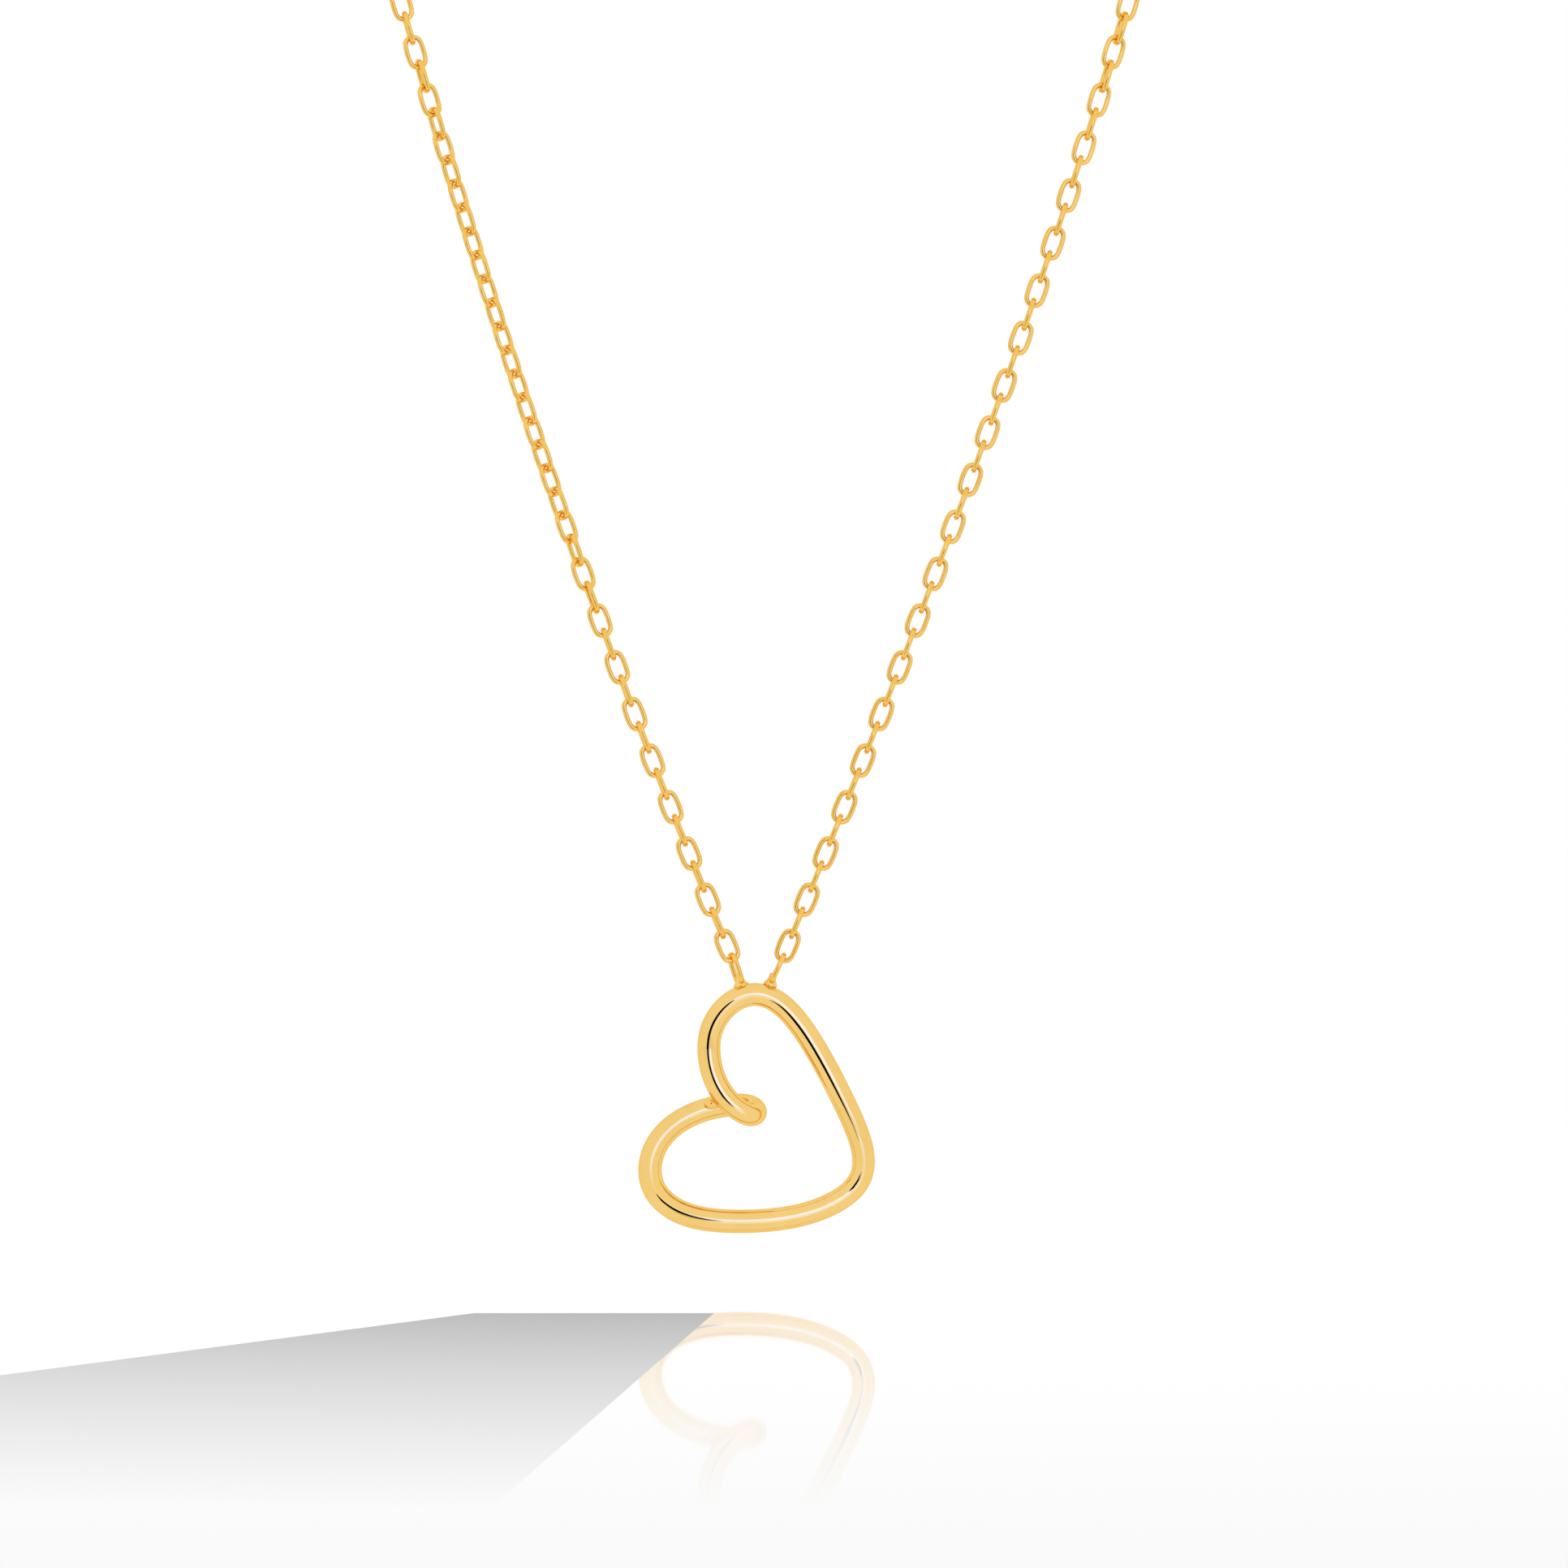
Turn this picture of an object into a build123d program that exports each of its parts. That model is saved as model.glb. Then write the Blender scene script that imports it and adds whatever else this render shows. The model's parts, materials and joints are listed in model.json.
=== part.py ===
from build123d import *
import math
import os

# Pendant necklace: an open heart of round wire on a fine cable chain, with a bolt ring at the nape.
# Millimetres, +Z up, -Y is the front. The origin lies midway between the two points where the chain
# leaves the sides of the neck: the neck stands behind it and the front of the chain hangs below it.

# ---- driving dimensions -------------------------------------------------------------------------
CHAIN_WIRE = 0.30            # diameter of the chain's wire
LINK_LENGTH = 2.10           # outer length of one oval link
LINK_WIDTH = 1.29            # outer width of one oval link
LINK_PLAY = 0.035            # free gap between two links that pull on each other

LINKS_PER_LEVEL = 8          # links between two bending lines of the hanging front
LEVELS = 8                   # bending stretches of the hanging front
FRONT_HALF_WIDTH = 29.7      # the chain leaves the neck this far each side of the middle
LEFT_START = 1.43            # left strand's distance from the middle at its lowest contact
RIGHT_START = 1.55           # right strand's distance from the middle at its lowest contact
LEFT_SLOPE = 0.422           # sideways run per height just above the heart, left strand
RIGHT_SLOPE = 0.416          # the same for the right strand
LEFT_BOW = 0.00163           # how fast the left strand steepens upwards, per millimetre
RIGHT_BOW = 0.00070          # the right strand is straighter
LEFT_TURN = 6.0              # the left strand is turned this far about itself at its foot
LEFT_EXTRA_TURN = 39.0       # and this much more along its middle
RIGHT_EXTRA_TURN = 16.0      # the right strand turns only a little, high up

COLLAR_HALF_WIDTH = 49.0     # widest half width of the chain round the neck
COLLAR_DEPTH = 94.0          # from the front of the chain to the nape
NAPE_RISE = 27.0             # the nape sits this much higher than the front support points
COLLAR_SETTLING = 14         # links over which the chain turns to lie level round the neck
COLLAR_SPLIT = 0.5           # share of the collar that stays put when the nape is lifted

HEART_WIRE = 1.36            # diameter of the heart's round wire
LEG_GAP = 0.16               # free gap between the two legs that cross at the cleft
FRONT_LEG = -0.12            # depth of the front leg: the upper lobe stays nearly in one plane
LINK_SEAT = 0.38             # depth that the attach links are let into the heart's wire
LINK_TURN = 20.0             # the left attach link is turned this far from edge-on
LEFT_LINK_SLOPE = 0.32       # sideways run per height of the left attach link
RIGHT_LINK_SLOPE = 0.46      # the right attach link leans more
SOLDER_BASE = 0.60           # radius of the solder foot on the heart
SOLDER_TOP = 0.24            # radius of the solder where the link stands out of it
SOLDER_HEIGHT = 0.62
SOLDER_SINK = 0.12           # the cone starts this far under the link's lowest point
CROSSING_SOLDER = 0.42       # radius of the solder between the wire's two legs at the cleft

CLASP_RADIUS = 2.20          # bolt ring, to the middle of its tube
CLASP_TUBE = 1.10            # outer diameter of its tube
CLASP_WALL = 0.19
BOLT_CLEARANCE = 0.08        # all round, between the bolt and the tube's bore
BOLT_TRAVEL = 56.0           # degrees that the thumb lug slides
MOUTH_START = 25.0           # degrees from the chain's line to the near edge of the mouth
MOUTH_END = 68.0
BOLT_ENTRY = 11.0            # degrees that the bolt's nose enters the far side when shut
BOLT_TAIL = 53.0             # degrees of bolt behind the mouth when shut
LUG_SETBACK = 12.0           # degrees from the mouth's far edge to the thumb lug
SPRING_GAP = 1.5             # degrees between the bolt's tail, fully open, and the spring
SPRING_SPAN = 34.0           # degrees that the squeezed spring takes up
SPRING_PLAY = 0.03           # all round, between the spring and the tube's bore
SPRING_WIRE = 0.14
LUG_WIRE = 0.30
LUG_BALL = 0.56
LUG_RISE = 0.45              # from the tube's outside to the end of the lug's pin
EYE_RADIUS = 0.80            # fixed eye on the bolt ring, to the middle of its wire
EYE_WIRE = 0.44
EYE_SEAT = 0.12              # depth that the eye is let into the tube
JUMP_RADIUS = 1.10           # jump ring between the eye and the left chain
JUMP_WIRE = 0.40
CATCH_RADIUS = 1.275         # ring that the bolt ring hooks into
CATCH_WIRE = 0.45
RING_PLAY = 0.04             # free gap between the rings of the clasp

TAG_THICKNESS = 0.30
TAG_LENGTH = 4.00
TAG_WIDTH = 2.20
TAG_EAR = 0.70               # outer radius of the tag's ear
TAG_HOLE = 0.42              # radius of the hole in the ear
TAG_NECK = 0.18              # the oval runs this far into the ear
TAG_TURN = 60.0              # place of the tag round the catch ring, in degrees from the chain

# ---- worked out ---------------------------------------------------------------------------------
HOOK = CHAIN_WIRE + LINK_PLAY                  # between the wire centres of two hooked links
LINK_PITCH = LINK_LENGTH - CHAIN_WIRE - HOOK   # from one contact to the next
FRONT_LINKS = LEVELS * LINKS_PER_LEVEL
LEFT_STRAND = (LEFT_START, LEFT_SLOPE, LEFT_BOW)
RIGHT_STRAND = (RIGHT_START, RIGHT_SLOPE, RIGHT_BOW)
MEAN_STRAND = [(left + right) / 2 for left, right in zip(LEFT_STRAND, RIGHT_STRAND)]


def oval_link(length, width, wire):
    """One closed oval link of round wire: its length along Z, its flat side in the XZ plane."""
    bend = (width - wire) / 2
    reach = (length - wire) / 2 - bend
    right = Line((bend, 0, -reach), (bend, 0, reach))
    top = ThreePointArc((bend, 0, reach), (0, 0, reach + bend), (-bend, 0, reach))
    left = Line((-bend, 0, reach), (-bend, 0, -reach))
    foot = ThreePointArc((-bend, 0, -reach), (0, 0, -reach - bend), (bend, 0, -reach))
    section = Plane((bend, 0, -reach), z_dir=(0, 0, 1)) * Circle(wire / 2)
    return sweep(section, path=Wire([right, top, left, foot])).solid()


def closed_bent_wire(points, wire):
    """Closed round wire through its bend points, each bend as large as its two runs allow.

    It is swept as two halves that are then joined, because its line doesn't lie in one plane.
    """
    count = len(points)
    radii = []
    for i in range(count):
        before = points[i - 1] - points[i]
        after = points[(i + 1) % count] - points[i]
        turn = 180 - before.get_angle(after)
        room = 0.46 * min(before.length, after.length)
        radii.append(room / math.tan(math.radians(turn) / 2))
    edges = FilletPolyline(*points, radius=radii, close=True).wire().order_edges()
    half = len(edges) // 2
    halves = []
    for run in (Wire(edges[:half]), Wire(edges[half:])):
        section = Plane(run @ 0, z_dir=run % 0) * Circle(wire / 2)
        halves.append(sweep(section, path=run))
    return (halves[0] + halves[1]).solid()


def ring_arc(radius, wire, start, sweep_angle):
    """A bent round bar in the XZ plane, its angles counted from +X towards +Z."""
    bar = Torus(radius, wire / 2, major_angle=sweep_angle, align=None)
    return Rot(0, -start, 0) * Rot(90, 0, 0) * bar


def flat_ring(radius, wire, x):
    """A jump ring that lies level, its centre on the chain's line."""
    return Pos(x, 0, 0) * Torus(radius, wire / 2)


# ---- the hanging front --------------------------------------------------------------------------
def strand_offset(height, top, strand):
    """Distance from the middle line at a height above the lowest contact: it steepens upwards."""
    start, slope, bow = strand
    closing = (FRONT_HALF_WIDTH - start - slope * top + bow * top ** 2) / top ** 3
    return start + slope * height - bow * height ** 2 + closing * height ** 3


def contact_heights(top):
    """Heights of contacts one pitch apart along the mean of the two strands, up to a height."""
    step = 0.01
    height = 0.0
    heights = [0.0]
    length = 0.0
    offset = strand_offset(0, top, MEAN_STRAND)
    while height < top:
        height += step
        next_offset = strand_offset(height, top, MEAN_STRAND)
        length += math.hypot(step, next_offset - offset)
        offset = next_offset
        if length >= LINK_PITCH * len(heights):
            heights.append(height)
    return heights


def front_height():
    """Height of the hanging front that holds FRONT_LINKS whole links."""
    low = 0.5 * FRONT_LINKS * LINK_PITCH
    high = FRONT_LINKS * LINK_PITCH
    while high - low > 0.005:
        middle = (low + high) / 2
        if len(contact_heights(middle)) > FRONT_LINKS:
            high = middle
        else:
            low = middle
    return high


FRONT_HEIGHT = front_height()
HEIGHTS = contact_heights(FRONT_HEIGHT)
LOWEST = Vector(0, 0, -FRONT_HEIGHT)             # level of the strands' lowest contacts
MEAN_LEAN = math.atan(MEAN_STRAND[1])
SWING = LOWEST - Vector(0, 0, HOOK / 2 * math.cos(MEAN_LEAN))    # the line the heart swings on
LINK_DROP = (LINK_PITCH + CHAIN_WIRE / 2) * math.cos(MEAN_LEAN)  # from there to the links' feet
CROWN = SWING - Vector(0, 0, LINK_DROP - LINK_SEAT + HEART_WIRE / 2)


def front_contacts(side, strand):
    """Contacts of one strand: both strands share their heights, so each pair bends on one line."""
    points = []
    for height in HEIGHTS[:FRONT_LINKS + 1]:
        x = side * strand_offset(height, FRONT_HEIGHT, strand)
        points.append(Vector(x, 0, height) + LOWEST)
    return points


def left_twist(height):
    """Turn of the left strand about itself: it stands at half a quarter turn along its middle."""
    share = smooth_step(height, 19, 28) - smooth_step(height, 44, 56)
    return LEFT_TURN + LEFT_EXTRA_TURN * share


def right_twist(height):
    """Turn of the right strand about itself, only slight and only high up."""
    return RIGHT_EXTRA_TURN * (smooth_step(height, 44, 54) - smooth_step(height, 66, 80))


def smooth_step(value, low, high):
    share = min(max((value - low) / (high - low), 0), 1)
    return share * share * (3 - 2 * share)


# ---- the chain round the neck -------------------------------------------------------------------
def clasp_reach():
    """Distances from the bolt ring's centre to the chain's first contacts, left then right."""
    eye_end = CLASP_RADIUS + CLASP_TUBE / 2 + 2 * EYE_RADIUS + EYE_WIRE / 2 - EYE_SEAT
    jump_centre = eye_end - EYE_WIRE / 2 - JUMP_WIRE / 2 - RING_PLAY + JUMP_RADIUS
    jump_end = jump_centre + JUMP_RADIUS - (JUMP_WIRE + CHAIN_WIRE) / 2 - RING_PLAY
    catch_near = CLASP_RADIUS - (CLASP_TUBE + CATCH_WIRE) / 2 - RING_PLAY
    catch_centre = catch_near + CATCH_RADIUS
    catch_end = catch_centre + CATCH_RADIUS - (CATCH_WIRE + CHAIN_WIRE) / 2 - RING_PLAY
    return jump_centre, jump_end + HOOK / 2, catch_centre, catch_end + HOOK / 2


JUMP_CENTRE, LEFT_REACH, CATCH_CENTRE, RIGHT_REACH = clasp_reach()
CLASP_SHIFT = (LEFT_REACH - RIGHT_REACH) / 2    # brings both chain ends the same way from the middle
NAPE_HALF = (LEFT_REACH + RIGHT_REACH) / 2
NAPE = Vector(0, COLLAR_DEPTH, NAPE_RISE)


def collar_line():
    """Right half of the chain's line round the neck, from the front support to the clasp."""
    wide = COLLAR_HALF_WIDTH
    deep = COLLAR_DEPTH
    rise = NAPE_RISE
    lean = MEAN_STRAND[1] * 2 / 3
    return Bezier(
        (FRONT_HALF_WIDTH, 0, 0),
        (FRONT_HALF_WIDTH + 9 * lean, 0, 9),
        (0.80 * wide, 0, 0.50 * rise),
        (1.34 * wide, 0.40 * deep, 0.44 * rise),
        (1.06 * wide, deep, 0.96 * rise),
        (0.42 * wide, deep, rise),
        (NAPE_HALF, deep, rise),
    )


def collar_contacts(side):
    """Contacts at one pitch along the collar, with an even number of links."""
    line = collar_line().edge()
    links = 2 * round(line.length / LINK_PITCH / 2)
    points = []
    for i in range(1, links + 1):
        place = line.position_at(i / links)
        points.append(Vector(side * place.X, place.Y, place.Z))
    return points


# ---- links on a line ----------------------------------------------------------------------------
def place_links(contacts, twist_at):
    """One link from each contact to the next, turned a quarter from its neighbour.

    In front every odd link faces forwards. Over the first collar links the chain turns a little
    about itself, until every odd link lies level round the neck.
    """
    blank = oval_link(LINK_LENGTH, LINK_WIDTH, CHAIN_WIRE)
    links = []
    flat = Vector(0, 1, 0)
    for i, (low, high) in enumerate(zip(contacts, contacts[1:])):
        along = (high - low).normalized()
        flat = (flat - along * flat.dot(along)).normalized()
        quarter = 0 if i % 2 == 0 else 90
        if i < FRONT_LINKS:
            turn = twist_at((low.Z + high.Z) / 2 - LOWEST.Z)
        else:
            settled = smooth_step(i, FRONT_LINKS, FRONT_LINKS + COLLAR_SETTLING)
            turn = settled * signed_turn(flat, Vector(0, 0, -1), along)
        facing = flat.rotate(Axis((0, 0, 0), along), quarter + turn)
        frame = Plane((low + high) * 0.5, x_dir=facing.cross(along), z_dir=along)
        links.append(blank.moved(frame.location))
    return links


def signed_turn(start, end, axis):
    """Angle in degrees from start to end, about the axis."""
    end = (end - axis * end.dot(axis)).normalized()
    return math.degrees(math.atan2(axis.dot(start.cross(end)), start.dot(end)))


def attach_link(contact, along, turn):
    """The last link of a strand, whose lower end is soldered to the heart."""
    facing = Vector(0, 1, 0).rotate(Axis((0, 0, 0), along), 90 + turn)
    centre = contact - along * (LINK_PITCH / 2)
    frame = Plane(centre, x_dir=facing.cross(along), z_dir=along)
    return oval_link(LINK_LENGTH, LINK_WIDTH, CHAIN_WIRE).moved(frame.location)


# ---- the heart ----------------------------------------------------------------------------------
def heart_bends():
    """Bend points of the heart's wire from the crown of its lobe: (across, depth, height)."""
    rear = FRONT_LEG + HEART_WIRE + LEG_GAP
    return [
        (-0.10, FRONT_LEG, -7.60),
        (-0.05, rear, -6.65),
        (-3.20, rear, -6.90),
        (-5.90, 0.62 * rear, -8.60),
        (-6.45, 0.28 * rear, -11.40),
        (-4.45, 0.06 * rear, -13.25),
        (-1.05, 0.00, -13.60),
        (2.15, 0.00, -13.35),
        (4.55, 0.00, -12.55),
        (6.25, 0.00, -11.20),
        (6.30, 0.00, -9.10),
        (5.05, 0.00, -6.35),
        (3.55, 0.00, -3.45),
        (1.55, 0.00, -0.60),
        (-0.80, 0.00, 0.00),
        (-3.00, 0.20 * FRONT_LEG, -2.35),
        (-2.35, 0.80 * FRONT_LEG, -6.05),
    ]


def heart_wire():
    points = [CROWN + Vector(x, y, z) for x, y, z in heart_bends()]
    return closed_bent_wire(points, HEART_WIRE)


def solder_foot(contact, along):
    """Solder cone round the foot of an attach link, before the wires are cut out of it."""
    foot = contact - along * (LINK_PITCH + HOOK / 2 + CHAIN_WIRE / 2 + SOLDER_SINK)
    cone = Cone(SOLDER_BASE, SOLDER_TOP, SOLDER_HEIGHT, align=(Align.CENTER, Align.CENTER, Align.MIN))
    return Plane(foot, z_dir=along).location * cone


def crossing_solder(heart):
    """Solder between the two legs of the wire where they cross at the heart's cleft."""
    crossing = CROWN + Vector(-2.42, FRONT_LEG + (HEART_WIRE + LEG_GAP) / 2, -6.65)
    drop = Cylinder(CROSSING_SOLDER, HEART_WIRE)
    return largest(Plane(crossing, z_dir=(0, 1, 0)).location * drop - heart)


def largest(shape):
    return max(shape.solids(), key=lambda solid: solid.volume)


# ---- the clasp ----------------------------------------------------------------------------------
def ring_slot(inner, outer, width, start, sweep_angle):
    """A slot cut through the tube's outer side, along part of the ring."""
    middle = (inner + outer) / 2
    blank = Pos(middle, 0, 0) * Rectangle(outer - inner, width)
    solid = revolve(Plane.XY * blank, axis=Axis.Y, revolution_arc=-sweep_angle)
    return Rot(0, -start, 0) * solid


def clasp_body():
    """Hollow bolt ring, open at the mouth, with a slot for the thumb lug and a blind far end."""
    bore = CLASP_TUBE - 2 * CLASP_WALL
    tube = ring_arc(CLASP_RADIUS, CLASP_TUBE, MOUTH_END, 360 - MOUTH_END + MOUTH_START)
    run = ring_arc(CLASP_RADIUS, bore, MOUTH_END - 5, SPRING_STOP - MOUTH_END + 5)
    pocket = ring_arc(CLASP_RADIUS, bore, MOUTH_START - BOLT_ENTRY - 4, BOLT_ENTRY + 9)
    slot_width = LUG_WIRE + 2 * BOLT_CLEARANCE
    outer = CLASP_RADIUS + CLASP_TUBE
    slot = ring_slot(CLASP_RADIUS + bore / 4, outer, slot_width, LUG_PLACE - 4, BOLT_TRAVEL + 8)
    return largest(tube - run - pocket - slot)


BOLT_START = MOUTH_START - BOLT_ENTRY                  # the bolt's nose when shut
BOLT_END = MOUTH_END + BOLT_TAIL                       # the bolt's tail when shut
LUG_PLACE = MOUTH_END + LUG_SETBACK                    # the thumb lug when shut
SPRING_START = BOLT_END + BOLT_TRAVEL + SPRING_GAP     # the spring, drawn at its squeezed length
SPRING_STOP = SPRING_START + SPRING_SPAN + 0.5         # the web that the spring leans on


def clasp_bolt():
    wire = CLASP_TUBE - 2 * CLASP_WALL - 2 * BOLT_CLEARANCE
    bolt = ring_arc(CLASP_RADIUS, wire, BOLT_START, BOLT_END - BOLT_START)
    seat = Rot(0, -LUG_PLACE, 0) * Pos(CLASP_RADIUS + 0.62 * wire, 0, 0) * Rot(0, 90, 0)
    return largest(bolt - seat * Cylinder(LUG_WIRE / 2, wire))


def thumb_lug():
    wire = CLASP_TUBE - 2 * CLASP_WALL - 2 * BOLT_CLEARANCE
    foot = CLASP_RADIUS + 0.12 * wire
    tip = CLASP_RADIUS + CLASP_TUBE / 2 + LUG_RISE
    pin = Pos((foot + tip) / 2, 0, 0) * Rot(0, 90, 0) * Cylinder(LUG_WIRE / 2, tip - foot)
    ball = Pos(tip + 0.1, 0, 0) * Sphere(LUG_BALL / 2)
    return (Rot(0, -LUG_PLACE, 0) * (pin + ball)).solid()


def bolt_spring():
    """The coil spring's envelope inside the tube: a sleeve of the coil's outer and inner size."""
    bore = CLASP_TUBE - 2 * CLASP_WALL
    coil = bore - 2 * SPRING_PLAY
    sleeve = ring_arc(CLASP_RADIUS, coil, SPRING_START, SPRING_SPAN)
    core = ring_arc(CLASP_RADIUS, coil - 2 * SPRING_WIRE, SPRING_START - 1, SPRING_SPAN + 2)
    return largest(sleeve - core)


def clasp_eye():
    centre = CLASP_RADIUS + CLASP_TUBE / 2 + EYE_RADIUS + EYE_WIRE / 2 - EYE_SEAT
    ring = Pos(-centre, 0, 0) * Rot(90, 0, 0) * Torus(EYE_RADIUS, EYE_WIRE / 2)
    solid_tube = ring_arc(CLASP_RADIUS, CLASP_TUBE, 90, 180)
    return largest(ring - solid_tube)


def blank_tag():
    """A plain oval tag that hangs from the catch ring by its ear."""
    drop = TAG_HOLE - CATCH_WIRE / 2 - RING_PLAY
    ear = Pos(0, -drop) * Circle(TAG_EAR)
    reach = drop + TAG_EAR - TAG_NECK + TAG_LENGTH / 2
    oval = Pos(0, -reach) * Ellipse(TAG_WIDTH / 2, TAG_LENGTH / 2)
    plate = extrude(ear + oval - Pos(0, -drop) * Circle(TAG_HOLE), TAG_THICKNESS / 2, both=True)
    turn = math.radians(TAG_TURN)
    outwards = Vector(math.cos(turn), math.sin(turn), 0)
    hang = outwards * CATCH_RADIUS + Vector(CATCH_CENTRE, 0, 0)
    frame = Plane(hang, x_dir=outwards, z_dir=outwards.cross(Vector(0, 0, 1)))
    return (frame.location * plate).solid()


# ---- writing the parts --------------------------------------------------------------------------
def write(name, solids):
    group = solids if isinstance(solids, list) else [solids]
    shape = group[0] if len(group) == 1 else Compound(children=group)
    export_step(shape, f"parts/{name}.step")


def chain_side(side, word, strand, twist_at):
    contacts = front_contacts(side, strand) + collar_contacts(side)
    links = place_links(contacts, twist_at)
    for level in range(LEVELS):
        first = level * LINKS_PER_LEVEL
        write(f"chain_{word}_{level + 1:02d}", links[first:first + LINKS_PER_LEVEL])
    rear = links[FRONT_LINKS:]
    middle = 2 * round(len(rear) * COLLAR_SPLIT / 2)
    write(f"collar_{word}_front", rear[:middle])
    write(f"collar_{word}_rear", rear[middle:])
    hinge = contacts[FRONT_LINKS + middle]
    total = sum((b - a).length for a, b in zip(contacts, contacts[1:]))
    print(word, "links", len(links), "length", total, "hinge", hinge)


def main():
    os.makedirs("parts", exist_ok=True)
    chain_side(-1, "left", LEFT_STRAND, left_twist)
    chain_side(1, "right", RIGHT_STRAND, right_twist)

    heart = heart_wire()
    write("heart_wire", heart)
    write("heart_crossing_solder", crossing_solder(heart))
    ends = [
        ("left", -1, LEFT_START, LEFT_LINK_SLOPE, LINK_TURN),
        ("right", 1, RIGHT_START, RIGHT_LINK_SLOPE, 0.0),
    ]
    for word, side, start, slope, turn in ends:
        contact = LOWEST + Vector(side * start, 0, 0)
        along = Vector(side * slope, 0, 1).normalized()
        link = largest(attach_link(contact, along, turn) - heart)
        write(f"attach_link_{word}", link)
        write(f"heart_solder_{word}", largest(solder_foot(contact, along) - heart - link))

    place = Pos(CLASP_SHIFT, 0, 0) * Pos(NAPE)
    lug_down = place * Rot(180, 0, 0)
    write("bolt_ring_body", lug_down * clasp_body())
    write("bolt_ring_eye", lug_down * clasp_eye())
    write("bolt", lug_down * clasp_bolt())
    write("thumb_lug", lug_down * thumb_lug())
    write("bolt_spring", lug_down * bolt_spring())
    write("jump_ring", place * flat_ring(JUMP_RADIUS, JUMP_WIRE, -JUMP_CENTRE))
    write("catch_ring", place * flat_ring(CATCH_RADIUS, CATCH_WIRE, CATCH_CENTRE))
    write("blank_tag", place * blank_tag())
    print("swing line", SWING, "link pitch", LINK_PITCH, "clasp at", NAPE + Vector(CLASP_SHIFT, 0, 0))


main()
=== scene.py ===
# %% [markdown]
# # A gold pendant necklace: an open heart of round wire on a fine cable chain
#
# The CAD model has already fixed where everything is and how it moves. This lesson gives each piece
# the shape and the finish of the real one: a thick wire that was bent by hand and polished, a chain
# of fine links that was only tumbled, and the solder that joins the two.
#
# We start by loading the CAD model as a fixed frame. Its box is kept, because the finished pieces
# must not be larger than the CAD says.

import json
import math
import random

import bpy
import numpy as np
from mathutils import Matrix, Vector


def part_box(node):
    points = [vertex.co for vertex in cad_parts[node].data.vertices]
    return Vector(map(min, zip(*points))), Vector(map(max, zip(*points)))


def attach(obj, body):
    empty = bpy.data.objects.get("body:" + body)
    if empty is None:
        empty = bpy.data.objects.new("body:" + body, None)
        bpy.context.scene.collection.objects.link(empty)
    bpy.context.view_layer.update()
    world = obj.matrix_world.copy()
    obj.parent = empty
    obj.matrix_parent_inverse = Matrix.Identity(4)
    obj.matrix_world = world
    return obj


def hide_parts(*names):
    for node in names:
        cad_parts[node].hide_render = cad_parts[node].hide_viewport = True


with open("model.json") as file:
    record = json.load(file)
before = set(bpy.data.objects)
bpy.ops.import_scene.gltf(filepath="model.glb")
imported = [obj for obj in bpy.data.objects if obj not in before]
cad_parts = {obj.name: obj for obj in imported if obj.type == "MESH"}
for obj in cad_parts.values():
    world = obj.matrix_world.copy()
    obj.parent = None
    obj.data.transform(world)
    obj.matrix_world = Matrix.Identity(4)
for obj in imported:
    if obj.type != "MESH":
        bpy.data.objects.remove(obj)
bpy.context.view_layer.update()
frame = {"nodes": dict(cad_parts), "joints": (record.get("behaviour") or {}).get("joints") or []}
joints = {joint["name"]: joint for joint in frame["joints"]}
MM = 0.001


# %% [markdown]
# Blender's operators act on everything that is selected, and loading a file leaves its objects
# selected. So we write down once how to pick a single piece, how to open it in edit mode with
# nothing selected, and how to put a finished piece's place into its mesh.

# %% Pick, open and settle a piece
def pick(*pieces):
    bpy.ops.object.select_all(action="DESELECT")
    for piece in pieces:
        piece.select_set(True)
    bpy.context.view_layer.objects.active = pieces[0]


def open_mesh(piece, wanted=None):
    """Edit mode with only the wanted vertices selected: wanted is asked of each vertex's place."""
    pick(piece)
    bpy.ops.object.mode_set(mode="EDIT")
    bpy.ops.mesh.select_mode(type="VERT")
    bpy.ops.mesh.select_all(action="DESELECT")
    bpy.ops.object.mode_set(mode="OBJECT")
    if wanted:
        for vertex in piece.data.vertices:
            vertex.select = bool(wanted(vertex.co))
    bpy.ops.object.mode_set(mode="EDIT")


def close_mesh():
    bpy.ops.object.mode_set(mode="OBJECT")


def settle(piece, name):
    """The object goes to the origin, unturned, and its place goes into its mesh."""
    pick(piece)
    bpy.ops.object.transform_apply(location=True, rotation=True, scale=True)
    piece.name = name
    piece.data.name = name
    return piece


def wear(piece, finish):
    """A piece has one finish only."""
    piece.data.materials.clear()
    piece.data.materials.append(finish)


def triangles(piece):
    shown = piece.evaluated_get(bpy.context.evaluated_depsgraph_get())
    return sum(len(face.vertices) - 2 for face in shown.to_mesh().polygons)


# %% [markdown]
# ## The gold
#
# The whole necklace is yellow gold plate, but it isn't one finish. The heart was polished on a
# wheel until it mirrors, and only the faintest hairlines are left. The chain's wire was drawn
# through a die and then only tumbled, so it is a little warmer and softer. Solder is uneven.
#
# A metal's colour in the Principled shader is the colour of its reflection. One flat value looks
# like plastic, so two noises do the work here: a wide one that shifts the colour very slightly from
# place to place, and a fine stretched one that gives hairlines in roughness and in the bump. The
# noises read Object coordinates, so they stay on the piece when it swings. Scales are in features to
# the metre, since the whole object is only a tenth of a metre tall.

# %% One recipe for all gold finishes
def socket(node, name, value):
    node.inputs[name].default_value = value


EDGE_TINT = (0.95, 0.74, 0.42, 1)
CLOUD_SCALE = 420.0
DENT_SCALE = 3200.0
HAIRLINE_SCALES = (1500, 26000, 9000)
HAIRLINE_TURN = (0.3, 0.5, 0.9)
HAIRLINE_DEPTH = 0.004 * MM
DENT_DEPTH = 0.04 * MM


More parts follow.
